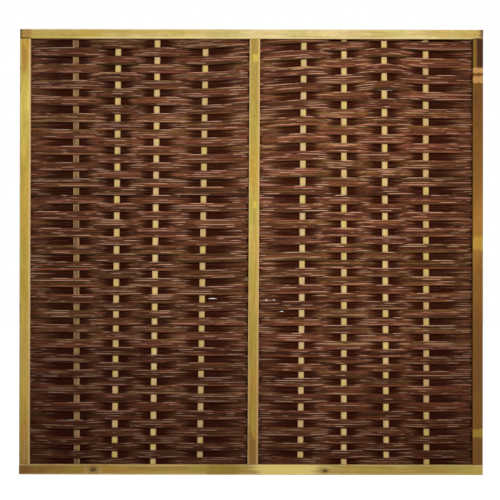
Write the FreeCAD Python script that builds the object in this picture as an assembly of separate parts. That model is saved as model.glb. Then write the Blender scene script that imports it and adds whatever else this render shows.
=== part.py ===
# Framed willow fence panel: willow rods woven on upright stakes, clamped between two frames of laths.
# Millimetres. X runs along the width from the left edge, the front faces -Y, and Z is up.
# The origin is on the outer edge of the left stake, half way up the panel.
import FreeCAD
import Part
import math
import os

from FreeCAD import Vector

# Overall size
PANEL_WIDTH = 1800.0
PANEL_HEIGHT = 1730.0

# Frame laths, the same on the front and the back
LATH_THICKNESS = 16.0
LATH_ARRIS = 2.5
TOP_RAIL_FACE = 36.5
BOTTOM_RAIL_FACE = 40.5
LEFT_STILE_FACE = 42.0
CENTRE_STILE_FACE = 41.5
RIGHT_STILE_FACE = 40.0

# The centre stile leans: how far right of the panel's middle its ends are
CENTRE_SHIFT_TOP = 13.0
CENTRE_SHIFT_BOTTOM = 7.0

# Stakes, one behind each stile and four in each bay
STAKE_FACE = 23.0
STAKE_THICKNESS = 11.0
STAKE_ARRIS = 1.5
STAKE_SETBACK = 3.0

# How far each stake in a bay stands right of its even place, as (top, bottom)
LEFT_BAY_SHIFTS = ((21.5, 31.0), (8.0, -1.5), (-19.5, -31.0), (-11.5, -28.0))
RIGHT_BAY_SHIFTS = ((16.5, 9.0), (-2.5, 2.5), (-21.5, -8.0), (-34.5, -27.5))

# Woven mat: each course is a bunch, one rod deep, with a ridge for each rod that stands in it
ROD_DIAMETER = 8.5
RODS_IN_BUNCH = 3
GROOVE_DEPTH = 2.6
COURSE_PITCH = 31.5
SQUEEZED_COURSE = 14.0
COURSE_GAP = 0.3
SEAT_GAP = 0.2
MAT_SETBACK = 3.0
WEAVE_SECTIONS = 11

# A wall that is less twisted than this counts as flat
FLAT = 0.0000001

# How far the courses have settled below even spacing, from the bottom of the panel to the top
SETTLED_LEFT = (0.0, 12.0, 4.0, 12.5, 27.0, 24.5, 16.0, 14.0, 10.5, 7.0, 4.0)
SETTLED_RIGHT = (0.0, 10.5, 6.0, 19.0, 20.0, 16.0, 17.0, 5.0, -6.5, -15.5, -22.0)

# Where single places of the mat have sunk or ridden up, as (x, z, reach along, reach up, drop)
DIPS = (
    (1425.0, 680.0, 150.0, 260.0, -13.0),
    (1100.0, 480.0, 200.0, 350.0, -5.0),
    (220.0, -690.0, 180.0, 120.0, 7.0),
)

# Worked out from the sizes above
TOP = PANEL_HEIGHT / 2
BOTTOM = -PANEL_HEIGHT / 2
MAT_LOW = BOTTOM + MAT_SETBACK
MAT_HIGH = TOP - MAT_SETBACK
COURSE_COUNT = round((MAT_HIGH - MAT_LOW) / COURSE_PITCH)


def between(start, end, share):
    """The value that is this share of the way from start to end."""
    return start + (end - start) * share


def height_share(z):
    """How far up the panel a height is, from 0 at the bottom to 1 at the top."""
    return (z - BOTTOM) / PANEL_HEIGHT


def bay_stakes(left, right, shifts, share):
    """Centres of the stakes in one bay, at a share of the panel's height."""
    space = (right - left) / (len(shifts) + 1)
    return [
        left + space * (place + 1) + between(low_shift, top_shift, share)
        for place, (top_shift, low_shift) in enumerate(shifts)
    ]


def stake_centres(z):
    """X of every stake's centre line at one height, from left to right."""
    share = height_share(z)
    left = STAKE_FACE / 2
    right = PANEL_WIDTH - STAKE_FACE / 2
    centre = PANEL_WIDTH / 2 + between(CENTRE_SHIFT_BOTTOM, CENTRE_SHIFT_TOP, share)
    left_bay = bay_stakes(left, centre, LEFT_BAY_SHIFTS, share)
    right_bay = bay_stakes(centre, right, RIGHT_BAY_SHIFTS, share)
    return [left] + left_bay + [centre] + right_bay + [right]


def lath(corners, front, thickness, arris):
    """A sawn lath from its four corners (x, z) in elevation, with its four long edges eased."""
    points = [Vector(x, front, z) for x, z in corners]
    outline = Part.Face(Part.makePolygon(points + points[:1]))
    blank = outline.extrude(Vector(0, thickness, 0))
    longest = max(edge.Length for edge in blank.Edges)
    long_edges = [edge for edge in blank.Edges if edge.Length > longest / 2]
    return blank.makeChamfer(min(arris, thickness * 0.4), long_edges)


def upright(low_x, high_x, face, low, high, front, thickness, arris):
    """A lath that stands on end, its centre line running from low_x to high_x."""
    corners = [
        (low_x - face / 2, low),
        (low_x + face / 2, low),
        (high_x + face / 2, high),
        (high_x - face / 2, high),
    ]
    return lath(corners, front, thickness, arris)


def rail(low, high, front):
    """A lath that runs along the whole width of the panel."""
    corners = [(0, low), (PANEL_WIDTH, low), (PANEL_WIDTH, high), (0, high)]
    return lath(corners, front, LATH_THICKNESS, LATH_ARRIS)


def stile(face, low_x, high_x, front):
    """A lath that stands between the two rails of its frame."""
    low = BOTTOM + BOTTOM_RAIL_FACE
    high = TOP - TOP_RAIL_FACE
    return upright(low_x, high_x, face, low, high, front, LATH_THICKNESS, LATH_ARRIS)


def frame_laths(side, front):
    """The five laths of one frame, by node name."""
    middle = PANEL_WIDTH / 2
    low_share = BOTTOM_RAIL_FACE / PANEL_HEIGHT
    high_share = 1 - TOP_RAIL_FACE / PANEL_HEIGHT
    centre_low = middle + between(CENTRE_SHIFT_BOTTOM, CENTRE_SHIFT_TOP, low_share)
    centre_high = middle + between(CENTRE_SHIFT_BOTTOM, CENTRE_SHIFT_TOP, high_share)
    left = LEFT_STILE_FACE / 2
    right = PANEL_WIDTH - RIGHT_STILE_FACE / 2
    return {
        f"{side}_top_rail": rail(TOP - TOP_RAIL_FACE, TOP, front),
        f"{side}_bottom_rail": rail(BOTTOM, BOTTOM + BOTTOM_RAIL_FACE, front),
        f"{side}_left_stile": stile(LEFT_STILE_FACE, left, left, front),
        f"{side}_centre_stile": stile(CENTRE_STILE_FACE, centre_low, centre_high, front),
        f"{side}_right_stile": stile(RIGHT_STILE_FACE, right, right, front),
    }


def stakes():
    """The upright stakes that the rods are woven on, by node name."""
    low = BOTTOM + STAKE_SETBACK
    high = TOP - STAKE_SETBACK
    front = -STAKE_THICKNESS / 2
    ends = zip(stake_centres(low), stake_centres(high))
    return {
        f"stake_{place:02d}": upright(
            low_x, high_x, STAKE_FACE, low, high, front, STAKE_THICKNESS, STAKE_ARRIS
        )
        for place, (low_x, high_x) in enumerate(ends, start=1)
    }


def settled(values, share):
    """How far a course has settled, smoothly between the values given at even heights."""
    step = min(max(share, 0.0), 1.0) * (len(values) - 1)
    below = min(int(step), len(values) - 2)
    ease = (1 - math.cos(math.pi * (step - below))) / 2
    return between(values[below], values[below + 1], ease)


def dipped(x, z):
    """How far the mat has sunk at one place, from the dips that reach it."""
    drop = 0.0
    for middle_x, middle_z, reach_x, reach_z, depth in DIPS:
        off = math.hypot((x - middle_x) / reach_x, (z - middle_z) / reach_z)
        drop += depth * (1 + math.cos(math.pi * min(off, 1.0))) / 2
    return drop


def course_edge(count, x):
    """Height at x of the line over the first courses, counted from the bottom of the mat."""
    share = count / COURSE_COUNT
    level = between(MAT_LOW, MAT_HIGH, share)
    if count in (0, COURSE_COUNT):
        return level
    centres = stake_centres(level)
    last_left = centres[len(LEFT_BAY_SHIFTS)]
    first_right = centres[len(LEFT_BAY_SHIFTS) + 2]
    side = min(max((x - last_left) / (first_right - last_left), 0.0), 1.0)
    sunk = between(settled(SETTLED_LEFT, share), settled(SETTLED_RIGHT, share), side)
    lowest = MAT_LOW + count * SQUEEZED_COURSE
    highest = MAT_HIGH - (COURSE_COUNT - count) * SQUEEZED_COURSE
    return min(max(level - sunk - dipped(x, level), lowest), highest)


def bunch_offset():
    """How far a bunch passes from the middle of a stake, so that it clears both corners of the stake."""
    spaces = [
        right - left
        for z in (BOTTOM, TOP)
        for left, right in zip(stake_centres(z), stake_centres(z)[1:])
    ]
    corner = STAKE_FACE / 2 - STAKE_ARRIS
    beside_corner = STAKE_THICKNESS / 2 + SEAT_GAP + ROD_DIAMETER / 2
    return beside_corner / (1 - 2 * corner / min(spaces))


def weave_line(course, offset):
    """Plan (x, y) of one bunch, which passes before and behind the stakes in turn."""
    level = between(MAT_LOW, MAT_HIGH, (course - 0.5) / COURSE_COUNT)
    return [
        (centre, -offset if (course + place) % 2 == 0 else offset)
        for place, centre in enumerate(stake_centres(level))
    ]


def bunch_section(x, y, low, high):
    """Outline of a bunch where it crosses x: rods standing on each other, with a groove between each two."""
    steps = 2 * RODS_IN_BUNCH
    flank = []
    for step in range(1, steps):
        groove = GROOVE_DEPTH if step % 2 == 0 else 0
        flank.append((ROD_DIAMETER / 2 - groove, between(low, high, step / steps)))
    near = [Vector(x, y - depth, z) for depth, z in flank]
    far = [Vector(x, y + depth, z) for depth, z in reversed(flank)]
    return near + [Vector(x, y, high)] + far + [Vector(x, y, low)]


def polygon(points):
    """A flat face with these corners."""
    return Part.Face(Part.makePolygon(points + points[:1]))


def wall(first, second, third, fourth):
    """A wall with four corners, as one flat face or, where it is twisted, as two."""
    normal = (second - first).cross(third - first)
    twist = abs(normal.dot(fourth - first)) / normal.Length
    if twist < FLAT:
        return [polygon([first, second, third, fourth])]
    return [polygon([first, second, third]), polygon([first, third, fourth])]


def bunch(course, offset):
    """One course of the mat: a bunch of rods that follows its way through the stakes."""
    sections = [
        bunch_section(
            x,
            y,
            course_edge(course - 1, x) + COURSE_GAP / 2,
            course_edge(course, x) - COURSE_GAP / 2,
        )
        for x, y in weave_line(course, offset)
    ]
    faces = [polygon(sections[0]), polygon(sections[-1])]
    for section, following in zip(sections, sections[1:]):
        for corner in range(len(section)):
            after = (corner + 1) % len(section)
            faces += wall(section[corner], following[corner], following[after], section[after])
    skin = Part.makeShell(faces)
    skin.sewShape()
    strip = Part.makeSolid(skin)
    if strip.Volume < 0:
        strip.reverse()
    return strip


def weave(offset):
    """The woven mat in sections of a few courses each, by node name."""
    nodes = {}
    for section in range(WEAVE_SECTIONS):
        first = round(section * COURSE_COUNT / WEAVE_SECTIONS) + 1
        last = round((section + 1) * COURSE_COUNT / WEAVE_SECTIONS)
        bunches = [bunch(course, offset) for course in range(first, last + 1)]
        nodes[f"willow_weave_{section + 1:02d}"] = Part.makeCompound(bunches)
    return nodes


def build():
    """Every piece of the panel, by node name."""
    offset = bunch_offset()
    mat_half = offset + ROD_DIAMETER / 2 + SEAT_GAP
    pieces = frame_laths("front", -mat_half - LATH_THICKNESS)
    pieces.update(frame_laths("back", mat_half))
    pieces.update(stakes())
    pieces.update(weave(offset))
    return pieces


os.makedirs("parts", exist_ok=True)
for node, shape in build().items():
    shape.exportStep(f"parts/{node}.step")
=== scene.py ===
"""Framed willow fence panel, dressed for its picture.

Metres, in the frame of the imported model: X runs along the width, the front faces -Y and Z is up.
Rods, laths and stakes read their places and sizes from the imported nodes, and stand in their place.
"""
import logging
import math
import random
from dataclasses import dataclass
from enum import Enum
from functools import cache

import bmesh
import bpy
from mathutils import Matrix, Vector, noise


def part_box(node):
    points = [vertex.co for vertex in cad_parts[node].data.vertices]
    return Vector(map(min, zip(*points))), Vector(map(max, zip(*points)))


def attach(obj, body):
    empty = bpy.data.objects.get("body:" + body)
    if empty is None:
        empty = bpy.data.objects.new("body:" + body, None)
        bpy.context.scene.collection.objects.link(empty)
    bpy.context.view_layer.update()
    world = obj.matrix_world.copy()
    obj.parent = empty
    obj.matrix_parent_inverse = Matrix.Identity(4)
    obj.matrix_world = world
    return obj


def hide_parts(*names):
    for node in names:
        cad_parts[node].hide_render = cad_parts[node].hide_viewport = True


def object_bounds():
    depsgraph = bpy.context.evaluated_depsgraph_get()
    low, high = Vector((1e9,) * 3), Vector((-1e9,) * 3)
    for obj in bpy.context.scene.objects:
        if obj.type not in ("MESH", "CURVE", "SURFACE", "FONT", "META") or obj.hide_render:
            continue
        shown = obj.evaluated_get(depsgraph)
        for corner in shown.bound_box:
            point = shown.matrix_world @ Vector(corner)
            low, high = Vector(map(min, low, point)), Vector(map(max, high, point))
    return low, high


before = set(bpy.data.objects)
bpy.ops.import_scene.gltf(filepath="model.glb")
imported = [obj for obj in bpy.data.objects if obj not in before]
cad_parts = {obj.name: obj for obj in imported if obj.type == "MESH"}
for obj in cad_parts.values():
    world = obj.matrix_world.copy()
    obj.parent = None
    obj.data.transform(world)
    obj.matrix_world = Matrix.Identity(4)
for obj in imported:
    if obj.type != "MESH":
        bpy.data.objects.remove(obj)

CAD_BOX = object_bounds()
BODY = "root"

# Slots of the record
FRAME_SLOT = "frame_timber"
STAKE_SLOT = "stake_timber"

# Names of the values that meshes carry for their materials
EDGE = "edge"
ALONG = "along"
ACROSS = "across"
END = "end"
RADIUS = "radius"
TONE = "tone"
HUE = "hue"

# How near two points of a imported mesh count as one, and how near they count as level
MERGE = 0.00001
LEVEL = 0.001

# How high the painted shade at the foot reaches, as a share of the height
FOOT_SHADE_HEIGHT = 0.62

# Edges that bend more than this are crisp, on bars and on what grows from points or lines
CRISP_BAR = math.radians(40)
CRISP_GROWN = math.radians(60)

Colour = tuple[float, float, float]
Stops = tuple[tuple[float, Colour], ...]
Socket = bpy.types.NodeSocket
Sockets = bpy.types.bpy_prop_collection
Kinds = dict[str, str]

log = logging.getLogger("panel")


def tone(red: int, green: int, blue: int) -> Colour:
    """A linear colour from screen values of 0 to 255."""
    return tuple(
        share / 12.92 if share <= 0.04045 else ((share + 0.055) / 1.055) ** 2.4
        for share in (red / 255, green / 255, blue / 255)
    )


def between(start: float, end: float, share: float) -> float:
    """The value that is this share of the way from start to end."""
    return start + (end - start) * share


def clamp(value: float, low: float = 0.0, high: float = 1.0) -> float:
    """The value, kept within its limits."""
    return min(max(value, low), high)


def eased(share: float) -> float:
    """A share of the way that starts and ends gently."""
    return (1 - math.cos(math.pi * clamp(share))) / 2


def drift(place: float, seed: float) -> float:
    """A smooth wandering value between about -1 and 1, the same on each run."""
    return noise.noise(Vector((place, seed, seed * 0.37)))


class Wiring:
    """Adds nodes to a tree and wires them, so that a finish reads as a short list of steps."""

    def __init__(self, tree: bpy.types.NodeTree) -> None:
        """Starts on a tree, which keeps what it has."""
        self.tree = tree

    def node(self, kind: str, feeds: dict | None = None, **options) -> bpy.types.Node:
        """Adds one node.

        Args:
            kind: Blender's name for the type of node.
            feeds: what goes into its sockets, by identifier, name or place: a socket or a plain value.
            options: the node's own settings.

        Returns:
            The new node.
        """
        made = self.tree.nodes.new(kind)
        for name, value in options.items():
            setattr(made, name, value)
        for key, value in (feeds or {}).items():
            matches = [s for s in made.inputs if s.identifier == key] or [made.inputs[key]]
            self.feed(matches[0], value)
        return made

    def feed(self, socket: Socket, value: object) -> None:
        """Wires a socket to another one, or sets its plain value.

        Args:
            socket: the input that is fed.
            value: another socket, or a plain value.
        """
        if isinstance(value, bpy.types.NodeSocket):
            self.tree.links.new(value, socket)
        elif socket.type == "RGBA":
            socket.default_value = (*value, 1.0)
        else:
            socket.default_value = value

    def math(self, operation: str, *values: object, clamped: bool = False) -> Socket:
        """The result of a Math node on one, two or three values."""
        feeds = dict(zip(("Value", "Value_001", "Value_002"), values))
        return self.node("ShaderNodeMath", feeds, operation=operation, use_clamp=clamped).outputs[0]

    def times(self, first: object, second: object) -> Socket:
        """Two values multiplied."""
        return self.math("MULTIPLY", first, second)

    def vector(self, operation: str, *values: object) -> Socket:
        """The result of a Vector Math node on one or two vectors: a vector, or a length."""
        made = self.node("ShaderNodeVectorMath", dict(enumerate(values)), operation=operation)
        return made.outputs["Value" if operation == "LENGTH" else "Vector"]

    def axis(self, vector: Socket, name: str) -> Socket:
        """A vector's X, Y or Z."""
        return self.node("ShaderNodeSeparateXYZ", {0: vector}).outputs[name]

    def place(self) -> Socket:
        """The place on the panel."""
        return self.node("ShaderNodeTexCoord").outputs["Object"]

    def squeezed(self, vector: Socket, scale: tuple[float, float, float]) -> Socket:
        """A vector scaled along each axis, which draws a noise out along the least of them."""
        return self.node("ShaderNodeMapping", {"Vector": vector, "Scale": scale}).outputs[0]

    def remap(self, value: object, start: float, end: float, low: float = 0.0, high: float = 1.0) -> Socket:
        """A value of start to end, spread smoothly over low to high and kept within them."""
        feeds = {"Value": value, "From Min": start, "From Max": end, "To Min": low, "To Max": high}
        return self.node("ShaderNodeMapRange", feeds, interpolation_type="SMOOTHSTEP").outputs[0]

    def mix(self, share: object, first: object, second: object, blend: str = "MIX") -> Socket:
        """Two colours mixed, or blended in another way, by a share."""
        feeds = {"Factor_Float": share, "A_Color": first, "B_Color": second}
        made = self.node("ShaderNodeMix", feeds, data_type="RGBA", blend_type=blend)
        return next(s for s in made.outputs if s.type == "RGBA")

    def lit(self, colour: Socket, light: Socket) -> Socket:
        """A colour multiplied by a value."""
        grey = self.node("ShaderNodeCombineColor", {"Red": light, "Green": light, "Blue": light})
        return self.mix(1.0, colour, grey.outputs[0], "MULTIPLY")

    def noise(self, vector: object, scale: float, detail: float = 2.0, roughness: float = 0.5) -> Socket:
        """The value of a noise of a given fineness."""
        feeds = {"Vector": vector, "Scale": scale, "Detail": detail, "Roughness": roughness}
        return self.node("ShaderNodeTexNoise", feeds).outputs["Fac"]

    def bump(self, height: Socket, strength: float, distance: float) -> Socket:
        """The normal of a surface that a height makes uneven."""
        feeds = {"Height": height, "Strength": strength, "Distance": distance}
        return self.node("ShaderNodeBump", feeds).outputs[0]

    def carried(self, name: str) -> Socket:
        """A value that the mesh carries at its points."""
        return self.node("ShaderNodeAttribute", attribute_name=name).outputs["Fac"]

    def ramp(self, value: object, stops: Stops) -> Socket:
        """A colour picked by a value from stops, which blend into each other.

        Args:
            value: what picks the colour, from 0 to 1.
            stops: the colours, each at its place.

        Returns:
            The colour.
        """
        made = self.node("ShaderNodeValToRGB", {"Fac": value})
        made.color_ramp.interpolation = "EASE"
        elements = made.color_ramp.elements
        while len(elements) < len(stops):
            elements.new(1.0)
        for element, (place, colour) in zip(elements, stops):
            element.position = place
            element.color = (*colour, 1.0)
        return made.outputs["Color"]

    def effect(self, group: bpy.types.NodeTree, feeds: dict) -> Sockets:
        """Places a shared effect in this tree, and gives its outputs."""
        return self.node("ShaderNodeGroup", feeds, node_tree=group).outputs

    def surface(self, feeds: dict) -> None:
        """Ends a material in its Principled shader."""
        shader = self.node("ShaderNodeBsdfPrincipled", feeds)
        self.node("ShaderNodeOutputMaterial", {"Surface": shader.outputs[0]})


def new_material(name: str) -> tuple[bpy.types.Material, Wiring]:
    """An empty material.

    Args:
        name: its name.

    Returns:
        The material and the wiring of its nodes.
    """
    material = bpy.data.materials.new(name)
    material.use_nodes = True
    material.node_tree.nodes.clear()
    return material, Wiring(material.node_tree)


def new_group(kind: str, name: str, takes: Kinds, gives: Kinds) -> tuple[Wiring, Sockets, Sockets]:
    """Starts a node group.

    Args:
        kind: Shader or Geometry.
        name: the group's name.
        takes: the types of its inputs, by name: Float, Vector and so on.
        gives: the types of its outputs, in the same way.

    Returns:
        The wiring inside the group, its inputs' sockets and its outputs' sockets, by name.
    """
    tree = bpy.data.node_groups.new(name, f"{kind}NodeTree")
    for sockets, way in ((takes, "INPUT"), (gives, "OUTPUT")):
        for label, sort in sockets.items():
            tree.interface.new_socket(label, in_out=way, socket_type=f"NodeSocket{sort}")
    wiring = Wiring(tree)
    return wiring, wiring.node("NodeGroupInput").outputs, wiring.node("NodeGroupOutput").inputs


@cache
def grain_effect() -> bpy.types.NodeTree:
    """Grain of wood or bark, from a vector that is squeezed along the grain."""
    takes = {"Vector": "Vector", "Seed": "Float"}
    gives = {"Broad": "Float", "Streaks": "Float", "Fibre": "Float"}
    wiring, into, out = new_group("Shader", "grain", takes, gives)
    shift = wiring.node("ShaderNodeCombineXYZ", {axis: into["Seed"] for axis in "XYZ"})
    vector = wiring.vector("ADD", into["Vector"], shift.outputs[0])
    wiring.feed(out["Broad"], wiring.remap(wiring.noise(vector, 14.0), 0.36, 0.64))
    wiring.feed(out["Streaks"], wiring.remap(wiring.noise(vector, 120.0, 4.0, 0.6), 0.34, 0.68))
    wiring.feed(out["Fibre"], wiring.noise(vector, 760.0, 3.0, 0.6))
    return wiring.tree


@cache
def edge_wear_and_shade_effect() -> bpy.types.NodeTree:
    """Where a long edge takes its own colour, from how near the edge is, broken up by a noise: pale wear on
    the laths, painted shade on the stakes' rounded sides.
    """
    takes = {"Vector": "Vector", "Edge": "Float", "Amount": "Float"}
    wiring, into, out = new_group("Shader", "edge_wear_and_shade", takes, {"Mask": "Float"})
    patches = wiring.remap(wiring.noise(into["Vector"], 45.0, 3.0), 0.3, 0.6, 0.45, 1.0)
    broken = wiring.times(into["Edge"], patches)
    wiring.feed(out["Mask"], wiring.math("MULTIPLY", broken, into["Amount"], clamped=True))
    return wiring.tree


@cache
def foot_shade_effect() -> bpy.types.NodeTree:
    """How much painted shade darkens the surface in the lower part of the panel, most at its foot."""
    takes = {"Vector": "Vector", "Amount": "Float"}
    wiring, into, out = new_group("Shader", "foot_shade", takes, {"Mask": "Float"})
    patches = wiring.remap(wiring.noise(into["Vector"], 3.0, 3.0), 0.3, 0.7, -0.12, 0.12)
    level = wiring.math("ADD", wiring.axis(into["Vector"], "Z"), patches)
    low, high = CAD_BOX[0].z, between(CAD_BOX[0].z, CAD_BOX[1].z, FOOT_SHADE_HEIGHT)
    wiring.feed(out["Mask"], wiring.times(wiring.remap(level, high, low), into["Amount"]))
    return wiring.tree


@cache
def knot_effect() -> bpy.types.NodeTree:
    """A knot at a place: its dark core and the ring of grain that bends round it."""
    takes = {"Vector": "Vector", "Centre": "Vector", "Reach": "Vector"}
    wiring, into, out = new_group("Shader", "knot", takes, {"Core": "Float", "Ring": "Float"})
    away = wiring.vector("SUBTRACT", into["Vector"], into["Centre"])
    length = wiring.vector("LENGTH", wiring.vector("DIVIDE", away, into["Reach"]))
    uneven = wiring.remap(wiring.noise(into["Vector"], 260.0), 0.3, 0.7, -0.15, 0.15)
    ragged = wiring.math("ADD", length, uneven)
    wiring.feed(out["Core"], wiring.remap(ragged, 1.0, 0.55))
    inner, outer = wiring.remap(ragged, 0.75, 1.1), wiring.remap(ragged, 1.7, 1.15)
    wiring.feed(out["Ring"], wiring.times(inner, outer))
    return wiring.tree


@cache
def patch_effect() -> bpy.types.NodeTree:
    """A ragged patch on a bar, from the distances along it and across it to the patch's middle."""
    takes = {"Vector": "Vector", "Along": "Float", "Across": "Float", "Long": "Float", "Wide": "Float"}
    wiring, into, out = new_group("Shader", "patch", takes, {"Mask": "Float"})
    ragged = wiring.remap(wiring.noise(into["Vector"], 90.0, 3.0), 0.3, 0.7, -0.22, 0.22)
    sides = []
    for away, reach in (("Along", "Long"), ("Across", "Wide")):
        off = wiring.math("ABSOLUTE", wiring.math("DIVIDE", into[away], into[reach]))
        sides.append(wiring.remap(wiring.math("ADD", off, ragged), 1.2, 0.75))
    wiring.feed(out["Mask"], wiring.times(*sides))
    return wiring.tree


class Run(Enum):
    """Which way a bar runs, as the scale that draws a noise out along its grain."""

    ACROSS = (0.06, 1.0, 1.0)
    UP = (1.0, 1.0, 0.06)


@dataclass(frozen=True)
class Bar:
    """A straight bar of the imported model: the middles of its ends, its face, its thickness and its way."""

    start: Vector
    end: Vector
    face: float
    thickness: float
    run: Run

    @classmethod
    def of_node(cls, node: str) -> "Bar":
        """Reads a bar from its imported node, leaning as the node leans.

        Args:
            node: the node's name.

        Returns:
            The bar.
        """
        low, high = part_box(node)
        middle = (low.y + high.y) / 2
        thickness = high.y - low.y
        if high.x - low.x > high.z - low.z:
            level = (low.z + high.z) / 2
            ends = [Vector((x, middle, level)) for x in (low.x, high.x)]
            return cls(*ends, high.z - low.z, thickness, Run.ACROSS)
        points = [vertex.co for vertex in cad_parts[node].data.vertices]
        ends = []
        for level in (low.z, high.z):
            reach = [point.x for point in points if abs(point.z - level) < LEVEL]
            ends.append(Vector(((min(reach) + max(reach)) / 2, middle, level)))
        return cls(*ends, max(reach) - min(reach), thickness, Run.UP)

    def point(self, share: float) -> Vector:
        """The point on the centre line at a share of the length."""
        return self.start.lerp(self.end, share)

    @property
    def length(self) -> float:
        """Its length."""
        return (self.end - self.start).length

    @property
    def across(self) -> Vector:
        """The direction across its face."""
        return Vector((0, 0, 1)) if self.run is Run.ACROSS else Vector((1, 0, 0))


@dataclass(frozen=True)
class Knot:
    """A knot on a bar: its share of the length, how far it is off the centre line, and its radius."""

    share: float
    off: float
    radius: float

    def reach(self, run: Run) -> Vector:
        """Its radius along each axis: longer with the grain, and deep enough to show on the whole side."""
        long, deep = self.radius * (1.5 if run is Run.ACROSS else 1.3), self.radius * 8
        return Vector((long, deep, self.radius) if run is Run.ACROSS else (self.radius, deep, long))


@dataclass(frozen=True)
class Patch:
    """A patch, streak or band of another tone on a bar.

    Attributes:
        share: where its middle is, as a share of the bar's length.
        off: how far above or right of the centre line its middle is.
        long: half its length along the bar.
        wide: half its width across the bar.
        strength: how much of its colour shows, from 0 to 1.
        colour: its colour.
    """

    share: float
    off: float
    long: float
    wide: float
    strength: float
    colour: Colour


@dataclass(frozen=True)
class TimberFinish:
    """Sawn softwood, as one bar shows it.

    Attributes:
        name: the bar's name.
        lengthwise: its colour from its start to its end, by the share of its length.
        heart: what its late wood is tinted with.
        stain: the colour of the treatment where it lies thick.
        arris: the colour of its long edges: pale wear on the laths, painted shade on the stakes' rounded
            sides.
        foot: the colour of the painted shade at the foot.
        sawn: the colour of its sawn ends.
        core: the colour of a knot's core.
        seed: picks its own piece of grain.
        stained: how much of it the stain takes, from 0 to 1.
        patchiness: how fine the patches of stain are.
        worn_and_shaded: how much of the edges' colour shows, from 0 to 1.
        foot_shade: how much darker its foot is, as painted shade, from 0 to 1.
        gloss: how strongly its surface reflects.
        knots: its knots.
        patches: its patches, streaks and bands.
    """

    name: str
    lengthwise: Stops
    heart: Colour = tone(150, 104, 44)
    stain: Colour = tone(168, 158, 60)
    arris: Colour = tone(214, 188, 128)
    # The colour of the painted shade at the foot
    foot: Colour = tone(60, 42, 20)
    sawn: Colour = tone(112, 84, 44)
    core: Colour = tone(72, 44, 20)
    seed: float = 1.0
    stained: float = 0.45
    patchiness: float = 7.0
    worn_and_shaded: float = 0.7
    # How strong the painted shade at the foot is
    foot_shade: float = 0.32
    gloss: float = 0.2
    knots: tuple[Knot, ...] = ()
    patches: tuple[Patch, ...] = ()

    def material(self, bar: Bar) -> bpy.types.Material:
        """Makes the material for a bar.

        Args:
            bar: the bar that it goes on, which gives the run of the grain and the places of knots.

        Returns:
            The material.
        """
        material, wiring = new_material(f"{self.name}_timber")
        place = wiring.place()
        squeezed = wiring.squeezed(place, bar.run.value)
        grain = wiring.effect(grain_effect(), {"Vector": squeezed, "Seed": self.seed})
        shift = wiring.remap(grain["Broad"], 0.0, 1.0, -0.02, 0.02)
        colour = wiring.ramp(wiring.math("ADD", wiring.carried(ALONG), shift), self.lengthwise)
        colour = self._grained(wiring, colour, grain, place)
        # The long edges: pale wear on the laths, painted shade on the stakes' rounded sides
        worn_and_shaded = {"Vector": place, "Edge": wiring.carried(EDGE), "Amount": self.worn_and_shaded}
        colour = wiring.mix(wiring.effect(edge_wear_and_shade_effect(), worn_and_shaded)["Mask"], colour, self.arris)
        colour = self._patched(wiring, colour, squeezed, bar)
        colour = self._marked(wiring, colour, place, bar)
        # Painted shade: darker towards the foot
        foot_shade = wiring.effect(foot_shade_effect(), {"Vector": place, "Amount": self.foot_shade})
        colour = wiring.mix(foot_shade["Mask"], colour, self.foot)
        feeds = {
            "Base Color": wiring.mix(wiring.times(wiring.carried(END), 0.45), colour, self.sawn),
            "Roughness": wiring.remap(grain["Streaks"], 0.0, 1.0, 0.62, 0.8),
            "Normal": wiring.bump(wiring.math("ADD", grain["Fibre"], grain["Streaks"]), 0.35, 0.0006),
            "Specular IOR Level": self.gloss,
        }
        wiring.surface(feeds)
        return material

    def _grained(self, wiring: Wiring, colour: Socket, grain: Sockets, place: Socket) -> Socket:
        """Adds the stain, the late wood and the fibres.

        Args:
            wiring: the material's wiring.
            colour: the colour so far.
            grain: the grain's outputs.
            place: the place on the panel.

        Returns:
            The colour with them.
        """
        patches = wiring.remap(wiring.noise(place, self.patchiness), 0.42, 0.62, 0.0, self.stained)
        colour = wiring.mix(patches, colour, self.stain)
        colour = wiring.mix(wiring.times(grain["Streaks"], 0.38), colour, self.heart)
        return wiring.lit(colour, wiring.remap(grain["Fibre"], 0.25, 0.75, 0.8, 1.18))

    def _marked(self, wiring: Wiring, colour: Socket, place: Socket, bar: Bar) -> Socket:
        """Adds the knots.

        Args:
            wiring: the material's wiring.
            colour: the colour so far.
            place: the place on the panel.
            bar: the bar that they are on.

        Returns:
            The colour with them.
        """
        for knot in self.knots:
            centre = bar.point(knot.share) + bar.across * knot.off
            feeds = {"Vector": place, "Centre": centre, "Reach": knot.reach(bar.run)}
            marks = wiring.effect(knot_effect(), feeds)
            colour = wiring.mix(wiring.times(marks["Ring"], 0.5), colour, self.heart)
            colour = wiring.mix(wiring.times(marks["Core"], 0.85), colour, self.core)
        return colour

    def _patched(self, wiring: Wiring, colour: Socket, squeezed: Socket, bar: Bar) -> Socket:
        """Adds the patches.

        Args:
            wiring: the material's wiring.
            colour: the colour so far.
            squeezed: the place on the panel, squeezed along the grain.
            bar: the bar that they are on.

        Returns:
            The colour with them.
        """
        along = wiring.times(wiring.carried(ALONG), bar.length)
        across = wiring.carried(ACROSS)
        for patch in self.patches:
            feeds = {
                "Vector": squeezed,
                "Along": wiring.math("SUBTRACT", along, patch.share * bar.length),
                "Across": wiring.math("SUBTRACT", across, patch.off),
                "Long": patch.long,
                "Wide": patch.wide,
            }
            mask = wiring.effect(patch_effect(), feeds)["Mask"]
            colour = wiring.mix(wiring.times(mask, patch.strength), colour, patch.colour)
        return colour


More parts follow.
